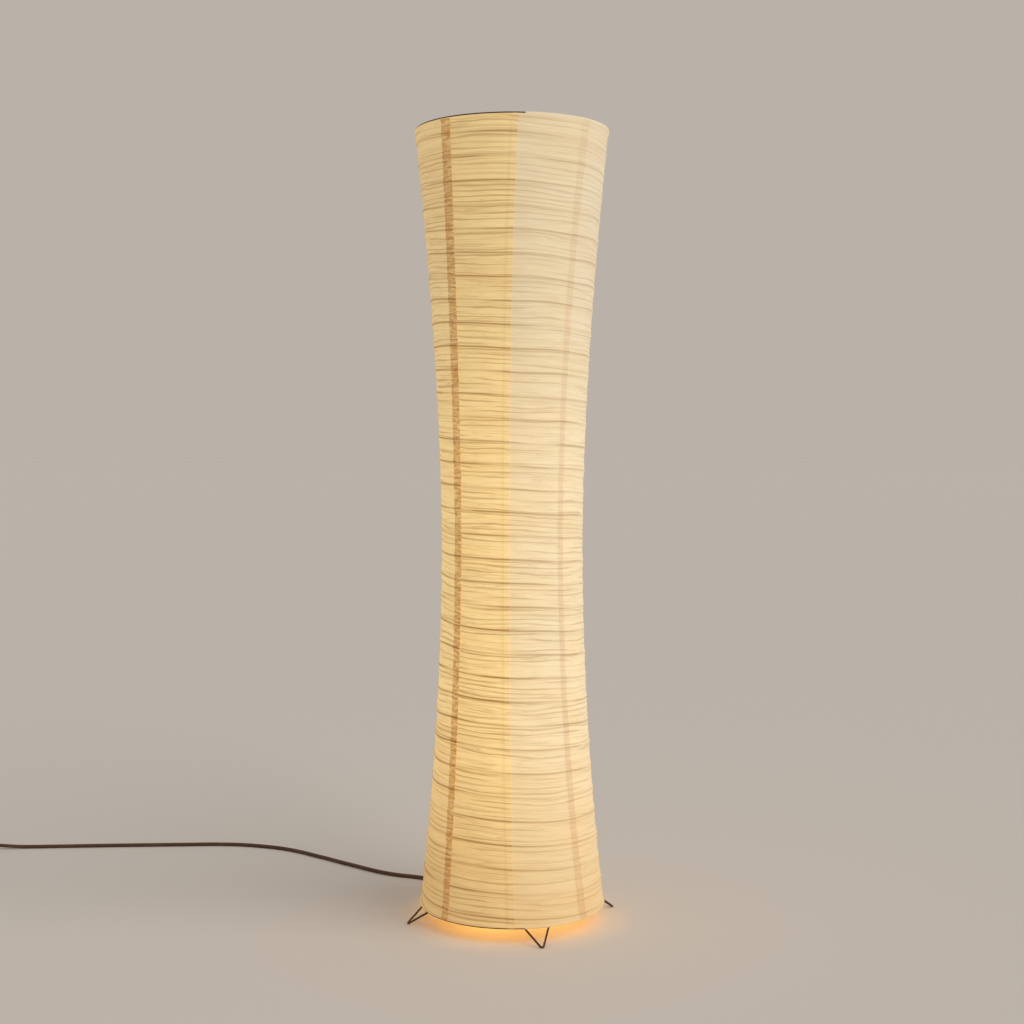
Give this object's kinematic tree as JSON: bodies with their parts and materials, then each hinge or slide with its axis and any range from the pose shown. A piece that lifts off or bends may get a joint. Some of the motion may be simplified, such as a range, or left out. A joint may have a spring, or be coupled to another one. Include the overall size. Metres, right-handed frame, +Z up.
{
  "type": "paper lantern floor lamp",
  "caption": "Waisted column lantern of creased rice paper on a spiral of rib wire, over a steel stand with bulb holders, on hairpin wire feet, with a corded inline switch and plug.",
  "frame": {"origin": "lamp's vertical axis on the floor", "axes": "+Z up along the lamp's axis, feet along X and Y, bars' and uprights' plane X-Z"},
  "size_m": [1.0877, 0.7995, 1.2],
  "materials": {
    "paper": "matte creased paper with fine fibres, translucent",
    "dark_wire": "satin dark bronze paint",
    "zinc_steel": "satin zinc plate",
    "brass": "bright turned brass",
    "ivory_plastic": "glossy moulding",
    "clip_plastic": "matte moulding",
    "core_ceramic": "unglazed",
    "brown_cord": "soft satin sheath",
    "brown_plastic": "semi-gloss moulding",
    "rocker_plastic": "semi-gloss moulding",
    "black_rubber": "matte",
    "pin_nickel": "bright nickel plate",
    "cap_nickel": "bright nickel plate",
    "cap_insulator": "black glassy insulator",
    "bulb_glass": "opal inside, smooth"
  },
  "bodies": {
    "stand": {"left_foot": "dark_wire", "front_foot": "dark_wire", "right_foot": "dark_wire", "back_foot": "dark_wire", "base_ring": "dark_wire", "base_bar": "zinc_steel", "base_brace": "zinc_steel", "upright_sleeves": "zinc_steel", "left_upright": "zinc_steel", "right_upright": "zinc_steel", "lower_bridge": "zinc_steel", "upper_bridge": "zinc_steel", "bridge_collars": "zinc_steel", "grub_screws": "zinc_steel", "nipples": "brass", "nipple_nuts": "brass", "lower_holder_cap": "ivory_plastic", "upper_holder_cap": "ivory_plastic", "lower_holder_shell": "ivory_plastic", "upper_holder_shell": "ivory_plastic", "holder_cores": "core_ceramic", "thread_shells": "brass", "centre_contacts": "brass", "supply_lead": "brown_cord", "link_lead": "brown_cord", "lead_clips": "clip_plastic", "cord_grommet": "black_rubber", "cord_clamp": "clip_plastic", "floor_cord": "brown_cord", "switch_base": "brown_plastic", "switch_cover": "brown_plastic", "switch_screws": "zinc_steel", "switch_tail": "brown_cord", "cord_coil": "brown_cord", "coil_tie": "clip_plastic", "plug_tail": "brown_cord", "plug_body": "brown_plastic", "plug_pins": "pin_nickel"},
    "shade": {"top_ring": "dark_wire", "top_bar": "dark_wire", "top_brace": "dark_wire", "top_sockets": "dark_wire", "rib_spiral": "dark_wire", "paper_gore_1": "paper", "paper_gore_2": "paper", "paper_gore_3": "paper", "paper_gore_4": "paper", "paper_gore_5": "paper", "paper_gore_6": "paper", "paper_gore_7": "paper", "paper_gore_8": "paper"},
    "hem": {"bottom_ring": "dark_wire"},
    "lower_bulb": {"lower_bulb_glass": "bulb_glass", "lower_bulb_cap": "cap_nickel", "lower_bulb_contact": "cap_insulator"},
    "upper_bulb": {"upper_bulb_glass": "bulb_glass", "upper_bulb_cap": "cap_nickel", "upper_bulb_contact": "cap_insulator"},
    "rocker": {"switch_rocker": "rocker_plastic"}
  },
  "joints": [
    {"name": "shade_lift", "type": "slide", "parent": "stand", "child": "shade", "axis": [0, 0, 1], "range_m": [0, 1.2]},
    {"name": "shade_gather", "type": "slide", "parent": "shade", "child": "hem", "axis": [0, 0, 1], "range_m": [0, 1.05], "deforming": ["paper_gore_1", "paper_gore_2", "paper_gore_3", "paper_gore_4", "paper_gore_5", "paper_gore_6", "paper_gore_7", "paper_gore_8", "rib_spiral"]},
    {"name": "lower_bulb_unscrew", "type": "hinge", "parent": "stand", "child": "lower_bulb", "pos_m": [0, 0, 0.205], "axis": [0, 0, 1], "range_deg": [0, 1800]},
    {"name": "upper_bulb_unscrew", "type": "hinge", "parent": "stand", "child": "upper_bulb", "pos_m": [0, 0, 0.575], "axis": [0, 0, 1], "range_deg": [0, 1800]},
    {"name": "switch_rocker", "type": "hinge", "parent": "stand", "child": "rocker", "pos_m": [-0.84, 0.622, 0.0126], "axis": [0, -1, 0], "range_deg": [0, 16]}
  ]
}
